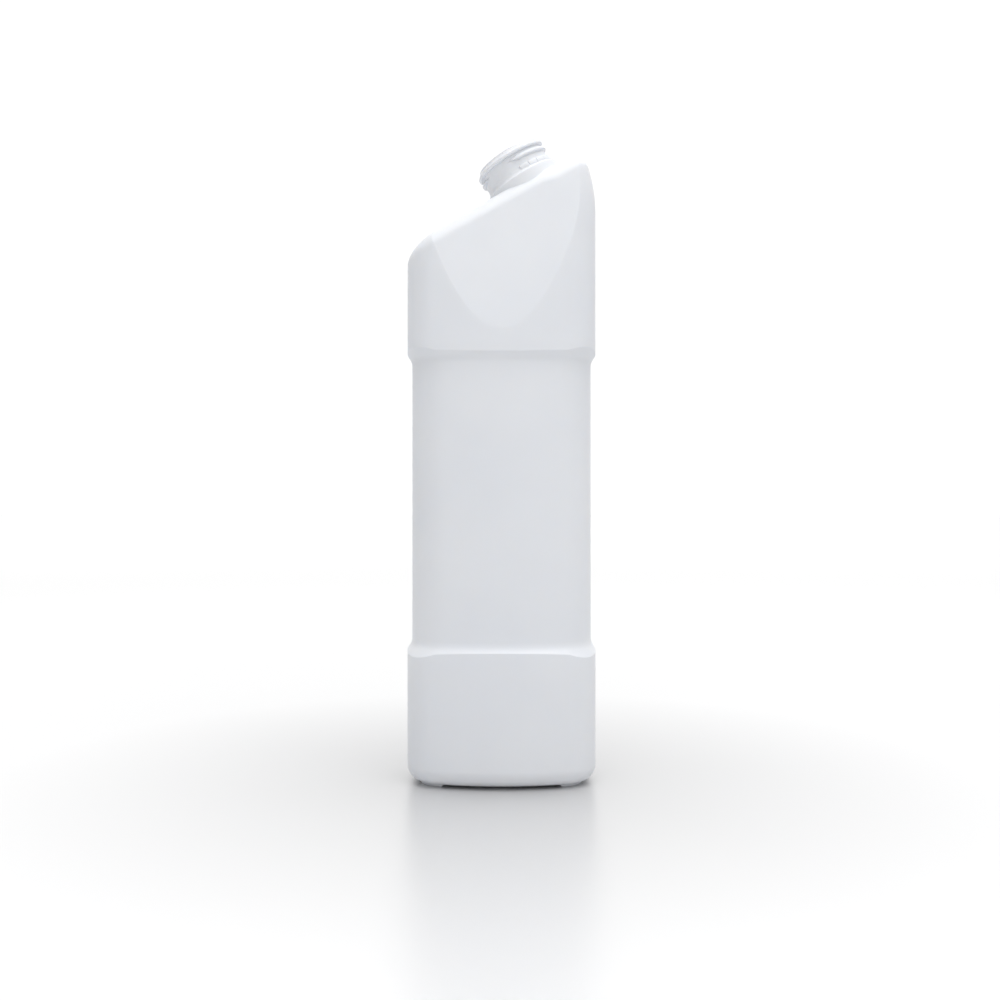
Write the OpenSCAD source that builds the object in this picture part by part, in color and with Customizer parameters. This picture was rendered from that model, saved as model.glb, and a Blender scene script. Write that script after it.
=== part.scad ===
// Blow-moulded bottle for toilet gel, with a slanted shoulder and a tilted screw neck.
// One hollow piece. It stands on z = 0, its front faces -Y, and the neck leans to -X.

/* [Body] */
// Width across the two full bands, left to right
body_w = 77.8; // [74:0.1:88]
// Depth across the two full bands, front to back
body_d = 49; // [47:0.5:54]
// Radius of the bowed front and back of the bands, seen from above
face_r = 100; // [85:1:150]
// Corner radius of the bands, seen from above
corner_r = 16; // [14.5:0.5:17.5]
// Thickness of the blown wall
wall = 1; // [0.8:0.1:1.6]

/* [Label panel] */
// Height where the recessed label panel starts
panel_from = 59.3; // [40:0.1:90]
// Height where the recessed label panel ends
panel_to = 172; // [130:0.5:174]
// How far the panel lies inside the bands at the sides
panel_side_in = 1.65; // [1.4:0.05:2.4]
// How far the panel lies inside the bands at the front and back
panel_face_in = 1.6; // [1.5:0.05:2.4]
// Radius of the panel's bowed front and back
panel_face_r = 84; // [80:1:110]
// Corner radius of the panel
panel_corner_r = 20; // [17:0.5:22]
// Fillet between the panel and the steps up to the bands
step_r = 5.9; // [3:0.1:6.5]
// Angle of the steps from the upright
step_angle = 36; // [30:1:40]

/* [Shoulder] */
// Height of the shoulder plane over the middle of the base
shoulder_h = 242.4; // [236:0.1:250]
// Angle of the shoulder plane, and of the neck's lean
slope = 31; // [27:0.5:33]
// Radius of the shoulder's rounded edge at its low left end
edge_low_r = 6.2; // [5:0.1:8.5]
// Radius of that edge at its high right end
edge_high_r = 9; // [5:0.1:9.5]
// How much lower the shoulder lies on the far side of the neck
saddle_drop = 1.8; // [0:0.1:3]
// Where that drop starts, right of the middle
saddle_from = 15.9; // [12:0.1:18]
// Where that drop ends
saddle_to = 24.3; // [22:0.1:28]
// Height where the right side starts to curve inward
lean_from = 235; // [225:0.5:245]
// Radius of that curve
lean_r = 60; // [50:1:120]

/* [Facets] */
// Height of the lowest point of the flat front and back facets
facet_from = 185; // [182:0.5:192]
// Lean of the facets from the upright
facet_lean = 6.3; // [4:0.1:6.8]

/* [Base] */
// Radius of the rounding round the base
base_r = 7; // [6.5:0.1:9]
// Height of the four corner feet
foot_h = 0.8; // [0.5:0.1:1.6]
// How far a foot's outer edge lies inside the bands
foot_in = 5.7; // [4.5:0.1:6.3]
// Width of a foot's flat sole
foot_w = 3; // [2:0.1:3.4]
// Distance of the feet from the middle, along the front
foot_from = 24.4; // [20:0.1:26]
// How far a foot runs round the corner, as the angle that its wall faces
foot_to_angle = 72; // [60:1:85]
// Height of the hollow under the base, above the heel
push_up = 1.2; // [0.5:0.1:2.5]

/* [Neck] */
// Where the neck's axis meets the shoulder plane, right of the middle
neck_x = 9.6; // [6:0.1:11]
// Height of the rim above the shoulder plane, along the axis
neck_h = 13.8; // [13.4:0.1:18]
// Radius of the mouth
mouth_r = 12; // [10.5:0.1:12.4]
// Outer radius of the rim
rim_r = 13.5; // [13:0.1:13.9]
// Outer radius of the neck between its threads
neck_r = 14.2; // [14:0.1:14.6]
// Outer radius of the collar
collar_r = 16.4; // [16:0.1:16.8]
// Height of the collar's upper edge below the rim
collar_top = 12; // [11.8:0.1:12.4]
// Height of the flare from the neck to the collar's edge
collar_flare = 2.8; // [2.4:0.1:3.2]

/* [Thread] */
// Outer radius of the thread
thread_r = 15.3; // [14.9:0.1:15.6]
// Rise of the thread for each turn
pitch = 2.93; // [2.6:0.01:3.1]
// Depth of the thread's middle below the rim, at the front of the lower turn
thread_depth = 5.2; // [5:0.1:5.5]
// How far the thread runs lower on the right and higher on the left than an even helix
thread_sway = 0.6; // [0:0.1:0.7]
// Width of the thread where it leaves the neck
thread_w = 2.4; // [1.8:0.1:2.5]
// Width of the thread's crest
crest_w = 0.7; // [0.4:0.1:1]
// How far the crest lies below the middle of the thread's root
crest_drop = 0.35; // [0:0.05:0.5]

/* [Ratchet] */
// Number of ratchet teeth on the right-hand side of the neck
tooth_n = 11; // [5:2:11]
// Angle from one tooth to the next
tooth_pitch = 16.5; // [14:0.5:18]
// Radius over the teeth
tooth_r = 15.1; // [14.8:0.1:15.4]
// Depth of the teeth's upper end below the rim
tooth_top = 8.9; // [8.7:0.1:9.2]
// Height of the teeth
tooth_h = 2.3; // [2.1:0.1:2.5]

/* [Hidden] */

white = [0.93, 0.94, 0.95];
half_w = body_w / 2;
half_d = body_d / 2;
// The heel is the base between the feet
heel = foot_h;
// Insets of the underside's rings from the bands' outline
sole_in = foot_in + foot_w;
heel_in = sole_in + 1;
push_in = heel_in + 3;
// Angle on the base rounding where a foot's outer side starts
foot_angle = asin(1 - (foot_in - 0.1) / base_r);
// Part of a step that its fillet takes up
fillet_d = step_r * (1 - cos(step_angle));
// Height where the rings of the body start to slant towards the shoulder
slant_from = facet_from + 19;
// The neck's solid and its mouth reach this far below the shoulder plane
neck_sink = 6;
mouth_sink = 5;
// The thread and the teeth are rooted this deep in the neck
root_sink = 1;
// Turns of the thread, as angles from the front, anticlockwise seen from above
lower_turn = [-150, -57];
upper_turn = [-14, 472];
fade_angle = 24;
helix_step = 11;
// Share of a tooth's pitch that its top takes up, and how much its low end drops
tooth_fill = 0.85;
tooth_ramp = 0.35;

// An outline is [half width, half depth, face radius, corner radius]
function corner_limit(w, d, r) = (r + w - pow(r - d, 2) / (r - w)) / 2 - 0.3;
function outline(w, d, r, corner) = [w, d, r, min(corner, corner_limit(w, d, r))];

BAND = outline(half_w, half_d, face_r, corner_r);
PANEL = outline(half_w - panel_side_in, half_d - panel_face_in, panel_face_r, panel_corner_r);

// Angle at which a bowed face turns into its corner
function turn(o) = asin((o[0] - o[3]) / (o[2] - o[3]));

// Point of an outline's quarter where the wall faces angle p: 0 is the face, 90 the side
function along(o, p) = p < turn(o)
    ? [o[2] * sin(p), o[1] - o[2] * (1 - cos(p))]
    : [o[0] - o[3] * (1 - sin(p)), o[1] - o[2] + (o[2] - o[3]) * cos(turn(o)) + o[3] * cos(p)];

// Angles are spread by length, with the corner counted double
function run(p) = let (t = turn(BAND))
    p < t ? face_r * p : face_r * t + 2 * corner_r * (p - t);
function run_angle(s) = let (t = turn(BAND))
    s < face_r * t ? s / face_r : t + (s - face_r * t) / (2 * corner_r);
function angles(from, flat_n, round_n, spread) = concat(
    [for (i = [0:flat_n - 1]) from * pow(i / flat_n, spread)],
    [for (i = [0:round_n]) run_angle(run(from) + (run(90) - run(from)) * i / round_n)]);

// Heights of the shoulder and depth of the leaning facets
function ease(t) = let (c = max(0, min(1, t))) c * c * (3 - 2 * c);
function shoulder_z(x) = shoulder_h + tan(slope) * x
    - saddle_drop * ease((x - saddle_from) / (saddle_to - saddle_from));
function facet_y(z) = half_d - max(0, z - facet_from) * tan(facet_lean);

// Point of a ring before its side is squeezed in, with its inset d: [x, y, d]
function pulled(base, d, p, side) = let (a = base(p), e = d(side * a.x, p))
    [a.x - e * sin(p), a.y - e * cos(p), e];

// Angle where the facet ends on a ring, found by halving
tip_angle = 1.6;
function facet_angle(base, d, z, side, s, low = 0, high = 90, n = 16) =
    let (p = (low + high) / 2, q = pulled(base, d, p, side),
         cut = q.y > facet_y(z(side * s * q.x, p)) - q.z)
    n == 0 ? max(tip_angle, p)
    : facet_angle(base, d, z, side, s, cut ? p : low, cut ? high : p, n - 1);

// The right side curves inward near the shoulder: share of the width left on a ring
function lean(z) = pow(max(0, z - lean_from), 2) / (2 * lean_r);
function squeeze(z, x = half_w, n = 4) = n == 0 ? x / half_w
    : squeeze(z, half_w - lean(z(x, 90)), n - 1);

// One quarter of a ring: base gives its outline at angle p, d its inset and z its height,
// both at x and p; side is 1 on the right and -1 on the left; least is the smallest angle
// that the flat part's points may end at
function quarter(base, d, z, side, n, least) =
    let (s = side > 0 ? squeeze(z) : 1, from = max(least, facet_angle(base, d, z, side, s)))
    [for (p = angles(from, n[0], n[1], least > tip_angle ? 0.3 : 1))
        let (q = pulled(base, d, p, side), x = side * s * q.x, h = z(x, p))
        [x, min(q.y, facet_y(h) - q.z), h]];

function flip(q) = [q.x, -q.y, q.z];

// A whole ring, anticlockwise from the front, seen from above
function ring(base, d, z, n, least = tip_angle) =
    let (right = quarter(base, d, z, 1, n, least), left = quarter(base, d, z, -1, n, least),
         m = n[0] + n[1])
    concat([for (i = [0:m]) flip(right[i])], [for (i = [m:-1:0]) right[i]],
           [for (i = [1:m]) left[i]], [for (i = [m:-1:1]) flip(left[i])]);

// Rings inset from the bands, and on the steps, where they have come out by out(p)
function band_ring(d, z, n) = ring(function (p) along(BAND, p), d, z, n);
function step_off(p) = (along(BAND, p) - along(PANEL, p)) * [sin(p), cos(p)];
function step_ring(w, out, z, n) = ring(function (p)
    along(PANEL, p) + (along(BAND, p) - along(PANEL, p)) * min(1, out(p) / step_off(p)),
    function (x, p) w, z, n);
// How far up or down a step has gone where it has come out by d
function step_rise(d) = d < fillet_d ? sqrt(2 * step_r * d - d * d)
    : step_r * sin(step_angle) + (d - fillet_d) / tan(step_angle);

// Base rounding: height of a skin that lies w inside, where it is inset by d
function base_z(w, d) = heel + base_r - (d < base_r
    ? sqrt(pow(base_r - w, 2) - pow(base_r - d, 2)) : base_r - w);
// Rings of the base; the outer skin has feet at its corners, the inner one has none
foot_from_angle = asin(foot_from / (face_r - foot_in));
function on_foot(w, p) = w == 0 && p >= foot_from_angle && p < foot_to_angle;
function base_ring(w, d, n, foot = false, up = 0) = ring(function (p) along(BAND, p),
    function (x, p) d, function (x, p) foot && on_foot(w, p) ? 0 : base_z(w, d), n,
    foot_from_angle + (tip_angle - foot_from_angle) * up);

// Radius of the shoulder's edge at x, for a skin that lies w inside
function edge(x, w) = edge_low_r + (edge_high_r - edge_low_r) * (x + half_w) / body_w - w;

// All rings of a skin that lies w inside the outer face, from the base up.
// fine holds the numbers of steps: flat part, round part, base, fillet, facet, slant, edge.
function skin(w, fine) =
    let (n = [fine[0], fine[1]], top = w / cos(slope))
    concat(
        [band_ring(function (x, p) push_in, function (x, p) heel + push_up + w, n),
         base_ring(w, heel_in, n),
         base_ring(w, sole_in, n, true),
         base_ring(w, foot_in + 0.2, n, true)],
        [for (i = [0:fine[2]]) let (a = foot_angle + (90 - foot_angle) * i / fine[2])
            base_ring(w, w + (base_r - w) * (1 - sin(a)), n, up = i / fine[2])],
        [step_ring(w, function (p) step_off(p), function (x, p) panel_from - step_rise(step_off(p)), n)],
        [for (i = [fine[3]:-1:0]) let (d = step_r * (1 - cos(step_angle * i / fine[3])))
            step_ring(w, function (p) d, function (x, p) panel_from - step_rise(d), n)],
        [for (i = [0:fine[3]]) let (d = step_r * (1 - cos(step_angle * i / fine[3])))
            step_ring(w, function (p) d, function (x, p) panel_to + step_rise(d), n)],
        [step_ring(w, function (p) step_off(p), function (x, p) panel_to + step_rise(step_off(p)), n)],
        [for (i = [0:fine[4]]) let (h = facet_from + (slant_from - facet_from) * pow(i / fine[4], 2))
            band_ring(function (x, p) w, function (x, p) h, n)],
        [for (i = [1:fine[5]]) let (t = i / fine[5])
            band_ring(function (x, p) w, function (x, p)
                slant_from + (shoulder_z(x) - top - edge(x, w) - slant_from) * t, n)],
        [for (i = [1:fine[6]]) let (a = 90 * i / fine[6])
            band_ring(function (x, p) w + edge(x, w) * (1 - cos(a)), function (x, p)
                shoulder_z(x) - top - edge(x, w) * (1 - sin(a)), n)]);

// Strip of triangles that closes a ring of 4 m + 2 points from front to back
function cap(m, up) = [for (side = [0, 1]) for (k = [0:m - 1])
    let (f = side == 0 ? k : (4 * m + 2 - k) % (4 * m + 2),
         g = side == 0 ? k + 1 : 4 * m + 1 - k,
         c = side == 0 ? 2 * m - k : 2 * m + 2 + k,
         b = side == 0 ? 2 * m + 1 - k : 2 * m + 1 + k,
         turned = (side == 0) != up)
    each turned ? [[f, g, c], [f, c, b]] : [[g, f, b], [g, b, c]]];

// Solid inside a skin's rings
module loft(rings, m) {
    size = 4 * m + 2;
    last = (len(rings) - 1) * size;
    polyhedron(
        points = [for (r = rings) each r],
        faces = concat(
            cap(m, false),
            [for (j = [0:len(rings) - 2]) for (i = [0:size - 1])
                let (a = j * size + i, b = j * size + (i + 1) % size)
                each [[a, a + size, b + size], [a, b + size, b]]],
            [for (f = cap(m, true)) [for (i = f) last + i]]));
}

module skin_solid(w, fine) {
    loft(skin(w, fine), fine[0] + fine[1]);
}

// Puts its children on the neck's axis, with z = 0 on the shoulder plane
module on_neck() {
    translate([neck_x, 0, shoulder_h + tan(slope) * neck_x])
        rotate([0, -slope, 0])
            children();
}

// Outside of the neck: rim, threaded stretch, flared collar and throat
module neck_body() {
    rim_round = 0.7;
    rotate_extrude($fn = 96)
        polygon([
            [0, -neck_sink],
            [collar_r, -neck_sink],
            [collar_r, neck_h - collar_top],
            [neck_r + 0.5, neck_h - collar_top + 0.43 * collar_flare],
            [neck_r, neck_h - collar_top + collar_flare],
            [neck_r, neck_h - 1],
            [rim_r, neck_h - rim_round],
            [rim_r - rim_round, neck_h],
            [0, neck_h]]);
}

// One stretch of the thread, from angle a to angle b; its ends fade into the neck
module thread(a, b) {
    n = ceil((b - a) / helix_step);
    depth = thread_r - neck_r + root_sink;
    section = [for (i = [0:n])
        let (t = a + (b - a) * i / n,
             z = neck_h - thread_depth + pitch * t / 360 - thread_sway * sin(t),
             out = neck_r - root_sink + depth * max(0.3, ease(min(t - a, b - t) / fade_angle)),
             sides = [[neck_r - root_sink, -thread_w / 2], [neck_r - root_sink, thread_w / 2],
                      [min(out, neck_r - 0.2), thread_w / 2], [out, crest_w / 2 - crest_drop],
                      [out, -crest_w / 2 - crest_drop], [min(out, neck_r - 0.2), -thread_w / 2]])
        [for (s = sides) [s[0] * sin(t), -s[0] * cos(t), z + s[1]]]];
    polyhedron(
        points = [for (s = section) each s],
        faces = concat(
            [[5, 4, 3, 2, 1, 0]],
            [for (i = [0:n - 1]) for (k = [0:5])
                let (p = 6 * i + k, q = 6 * i + (k + 1) % 6)
                each [[p, q, q + 6], [p, q + 6, p + 6]]],
            [[for (k = [0:5]) 6 * n + k]]));
}

// Ratchet teeth for a child-resistant cap, ramped in the closing direction
module teeth() {
    root = neck_r - root_sink;
    span = tooth_r * tan(tooth_pitch * tooth_fill / 2);
    for (i = [0:tooth_n - 1])
        rotate([0, 0, (i - (tooth_n - 1) / 2) * tooth_pitch])
            translate([0, 0, neck_h - tooth_top - tooth_h])
                linear_extrude(tooth_h)
                    polygon([[root, -span], [tooth_r - tooth_ramp, -span], [tooth_r, span], [root, span]]);
}

module bottle() {
    color(white)
        difference() {
            union() {
                skin_solid(0, [3, 9, 5, 4, 6, 4, 6]);
                on_neck() {
                    neck_body();
                    thread(lower_turn[0], lower_turn[1]);
                    thread(upper_turn[0], upper_turn[1]);
                    teeth();
                }
            }
            skin_solid(wall, [2, 7, 3, 2, 4, 3, 4]);
            on_neck()
                translate([0, 0, -mouth_sink])
                    cylinder(h = neck_h + mouth_sink + 1, r = mouth_r, $fn = 96);
        }
}

bottle();
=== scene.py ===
"""White blow-moulded toilet gel bottle: slanted shoulder, tilted neck, recessed label panel."""

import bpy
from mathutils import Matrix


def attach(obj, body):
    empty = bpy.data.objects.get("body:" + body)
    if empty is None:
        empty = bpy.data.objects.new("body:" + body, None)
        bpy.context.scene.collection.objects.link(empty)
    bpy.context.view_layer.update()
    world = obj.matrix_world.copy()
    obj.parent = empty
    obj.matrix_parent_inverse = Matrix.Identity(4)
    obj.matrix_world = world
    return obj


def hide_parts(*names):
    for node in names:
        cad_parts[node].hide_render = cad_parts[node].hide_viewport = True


bl_info = {
    "name": "Toilet Gel Bottle",
    "version": (1, 0, 0),
    "blender": (4, 5, 0),
    "location": "View3D > Sidebar > Bottle",
    "description": "Builds a blow-moulded gel bottle with its screw neck, and a studio stage",
    "category": "Add Mesh",
}

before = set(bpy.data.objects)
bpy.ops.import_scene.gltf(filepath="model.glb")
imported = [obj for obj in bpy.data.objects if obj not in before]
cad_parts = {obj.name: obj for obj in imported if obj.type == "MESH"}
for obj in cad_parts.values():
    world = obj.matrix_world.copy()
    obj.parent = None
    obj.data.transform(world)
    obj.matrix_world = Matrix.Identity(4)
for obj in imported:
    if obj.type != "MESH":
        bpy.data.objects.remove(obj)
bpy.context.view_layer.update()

import math

import bmesh
import bpy
import numpy as np
from bpy.props import FloatProperty, FloatVectorProperty, IntProperty, PointerProperty
from mathutils import Matrix, Vector

BODY = "root"
NODE = "bottle"
TIP = math.radians(1.6)            # least wall angle where a ring's round part starts
FACET_RUN = 0.019                  # height over which the rings turn towards the shoulder
EDGE_STEPS, TOP_STEPS = 40, 90     # points measured over the shoulder's edge and its plane
EDGE_SHARE = 3.5                   # how much denser the rows lie on that edge
FOOT_SOFT = 0.0006                 # soft edge of a foot
SEAM_WIDTH = 0.00022               # half width of the parting line
WELD_WIDTH = 0.0007                # half width of the pinch-off
WELD_TOP = 0.006                   # height up to which a point counts as the underside
WELD_REACH = 0.029                 # half length within which the pinch-off is looked for
WELD_HALF, WELD_FADE = 0.024, 0.004    # half length of the pinch-off, and its run-out
RIM_POINTS = 12                    # points of the neck's profile without a parting line
EVEN_SHARE = 0.8                   # how far the neck's columns move to even spacing
EVEN_FROM, EVEN_OVER = 0.001, 0.006    # height on the neck where that starts, and its length
TOOTH_SOFT = 0.00018               # bevel on a tooth
TOOTH_SINK = 0.0007                # depth of a tooth's root inside the neck
THREAD_SOFT = 0.00022              # rounding of the thread's corners
THREAD_STEP = math.radians(2.5)    # angle between two sections of the thread
THREAD_TURN = -math.pi / 2         # turns the thread's section crest outward


def length(name, description, millimetres):
    """A size in metres, given here in millimetres."""
    return FloatProperty(name=name, description=description, default=millimetres / 1000,
                         min=0, precision=5, subtype='DISTANCE', unit='LENGTH')


def angle(name, description, degrees):
    """An angle, given here in degrees."""
    return FloatProperty(name=name, description=description, default=math.radians(degrees),
                         subtype='ANGLE', unit='ROTATION')


def share(name, description, value, top=1.0):
    """A plain number between nothing and top."""
    return FloatProperty(name=name, description=description, default=value, min=0, max=top)


def colour(name, description, value):
    """A colour in linear light."""
    return FloatVectorProperty(name=name, description=description, default=value,
                               size=3, min=0, max=1, subtype='COLOR')


# Settings

class BottleBodySettings(bpy.types.PropertyGroup):
    """Sizes of the blown body"""
    width: length("Width", "Across the full bands, side to side", 77.8)
    depth: length("Depth", "Across the full bands, front to back", 49)
    face_radius: length("Face radius", "Bow of the front and back, seen from above", 100)
    corner_radius: length("Corner radius", "Corners of the bands, seen from above", 16)
    wall: length("Wall", "Thickness of the blown wall", 1)
    panel_from: length("Panel from", "Height where the label panel starts", 59.3)
    panel_to: length("Panel to", "Height where the label panel ends", 172)
    panel_side_in: length("Panel side depth", "Recess of the panel at the sides", 1.65)
    panel_face_in: length("Panel face depth", "Recess of the panel at front and back", 1.6)
    panel_face_radius: length("Panel face radius", "Bow of the panel", 84)
    panel_corner_radius: length("Panel corner radius", "Corners of the panel", 20)
    step_radius: length("Step fillet", "Fillet at the foot of a step", 5.9)
    step_angle: angle("Step angle", "Lean of a step from the upright", 36)
    crease_radius: length("Crease radius", "Rounding along the crease of a step", 0.6)
    shoulder_height: length("Shoulder height", "Shoulder plane over the middle", 242.4)
    slope: angle("Slope", "Slope of the shoulder and lean of the neck", 31)
    edge_low: length("Low edge radius", "Rounding of the shoulder's low end", 6.2)
    edge_high: length("High edge radius", "Rounding of the shoulder's high end", 9)
    saddle_drop: length("Saddle drop", "Drop of the shoulder behind the neck", 1.8)
    saddle_from: length("Saddle from", "Where the drop starts", 15.9)
    saddle_to: length("Saddle to", "Where the drop ends", 24.3)
    lean_from: length("Lean from", "Height where the right side curves inward", 235)
    lean_radius: length("Lean radius", "Radius of that curve", 60)
    facet_from: length("Facet from", "Lowest point of the flat facets", 185)
    facet_lean: angle("Facet lean", "Lean of the facets from the upright", 6.3)
    facet_blend: length("Facet blend", "Softness of the facets' edges", 0.09)
    base_radius: length("Base radius", "Rounding round the base", 7)
    foot_height: length("Foot height", "Height of the corner feet", 0.8)
    foot_in: length("Foot inset", "Outer edge of a foot, in from the bands", 5.7)
    foot_width: length("Foot width", "Width of a foot's sole", 3)
    foot_from: length("Foot from", "Inner end of a foot, from the middle", 24.4)
    foot_to: angle("Foot to", "Wall angle where a foot ends round the corner", 72)
    push_up: length("Push-up", "Hollow of the underside", 1.2)
    seam: length("Parting line", "Height of the mould's parting line", 0.07)
    pinch: length("Pinch-off", "Height of the welded seam under the base", 0.45)


class BottleNeckSettings(bpy.types.PropertyGroup):
    """Sizes of the screw neck"""
    axis_x: length("Axis", "Where the neck's axis meets the shoulder", 9.6)
    height: length("Height", "Rim above the shoulder plane", 13.8)
    mouth_radius: length("Mouth radius", "Radius of the mouth", 12)
    rim_radius: length("Rim radius", "Outer radius of the rim", 13.5)
    radius: length("Neck radius", "Outside of the neck between its threads", 14.2)
    rim_round: length("Rim rounding", "Outer rounding of the rim", 0.7)
    collar_radius: length("Collar radius", "Outer radius of the collar", 16.4)
    collar_top: length("Collar top", "Collar's upper edge below the rim", 12)
    collar_flare: length("Collar flare", "Height of the flare from neck to collar", 2.8)
    fillet: length("Fillet", "Fillet between collar and shoulder", 0.3)


class ScrewThreadSettings(bpy.types.PropertyGroup):
    """Sizes of the outside thread"""
    radius: length("Thread radius", "Radius over the thread", 15.3)
    pitch: length("Pitch", "Rise for each turn", 2.93)
    depth: length("Depth", "Thread's middle below the rim, at the front of the lower turn", 5.2)
    sway: length("Sway", "How much lower the thread runs on the right, and higher on the left", 0.6)
    root_width: length("Root width", "Width of the thread where it leaves the neck", 2.4)
    crest_width: length("Crest width", "Width of the thread's crest", 0.7)
    crest_drop: length("Crest drop", "How far the crest sags below its root", 0.35)
    sink: length("Sink", "Depth of the root inside the neck", 0.3)
    lower_start: angle("Lower start", "Where the lower turn starts", -150)
    lower_end: angle("Lower end", "Where the lower turn is interrupted", -57)
    upper_start: angle("Upper start", "Where the upper turn starts", -14)
    upper_end: angle("Upper end", "Where the upper turn ends", 472)
    fade: angle("Fade", "Run-out of each end", 24)


class RatchetTeethSettings(bpy.types.PropertyGroup):
    """Sizes of the ratchet teeth for a child-resistant cap"""
    count: IntProperty(name="Count", description="Number of teeth", default=11, min=1, max=20)
    pitch: angle("Pitch", "Angle from one tooth to the next", 16.5)
    radius: length("Radius", "Radius over the teeth", 15.1)
    top: length("Top", "Upper end of the teeth below the rim", 8.9)
    height: length("Height", "Height of a tooth, down into the flare", 2.8)
    fill: share("Fill", "Share of the pitch that a tooth's top takes up", 0.85)
    ramp: length("Ramp", "Drop of a tooth's low end", 0.35)


class PlasticFinishSettings(bpy.types.PropertyGroup):
    """Finish of the plastic"""
    white: colour("White", "Colour of the plastic", (0.80, 0.815, 0.845))
    thin: colour("Thin white", "Colour where the blown wall is thinner", (0.765, 0.785, 0.825))
    roughness: share("Roughness", "Roughness of the satin surface", 0.42)
    glow: share("Glow", "Light scattered inside the wall", 0.3)
    grain: length("Grain", "Height of the fine moulded grain", 0.012)
    ripple: length("Ripple", "Height of the blown wall's soft ripples", 0.05)


class StudioSettings(bpy.types.PropertyGroup):
    """Camera, floor and light"""
    distance: length("Camera distance", "From the bottle's middle plane", 505.6)
    height: length("Camera height", "Height of the level camera", 116.5)
    side: length("Camera offset", "Offset of the camera to the left", 0.63)
    view: angle("Field of view", "Angle across the square frame", 45)
    # The floor colour by the bottle is painted shade: darker than the far floor, it stands in for
    # the shadow round the bottle's foot.
    floor: colour("Floor", "Colour of the floor by the bottle", (0.5, 0.5, 0.505))
    far_floor: colour("Far floor", "Colour of the floor further out", (1, 1, 1))
    shine: share("Floor shine", "Share of the floor's light that is a reflection", 0.4)
    blur: share("Floor blur", "Roughness of the floor's reflection", 0.3)
    air: share("Room light", "Strength of the white room", 1.06, 10)
    sides: share("Side light", "Strength of the room's sides, against its back", 0.44)
    front: share("Front light", "Strength of the room's front, against its back", 0.57)
    top: share("Overhead light", "Power of the overhead softbox, in watts", 13.4, 1000)


# Shape of the body

def outline(w, d, r, corner):
    """Bowed faces with round corners: half width, half depth, both radii, angle of the turn."""
    corner = min(corner, (r + w - (r - d) ** 2 / (r - w)) / 2 - 0.0003)
    return w, d, r, corner, math.asin((w - corner) / (r - corner))


def along(shape, p):
    """Points of an outline's quarter where the wall faces angles p: 0 the face, 90 the side."""
    w, d, r, corner, turn = shape
    face = p < turn
    x = np.where(face, r * np.sin(p), w - corner * (1 - np.sin(p)))
    y = np.where(face, d - r * (1 - np.cos(p)),
                 d - r + (r - corner) * math.cos(turn) + corner * np.cos(p))
    return x, y


def ease(t):
    """Smooth step from 0 to 1."""
    c = np.clip(t, 0, 1)
    return c * c * (3 - 2 * c)


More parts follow.
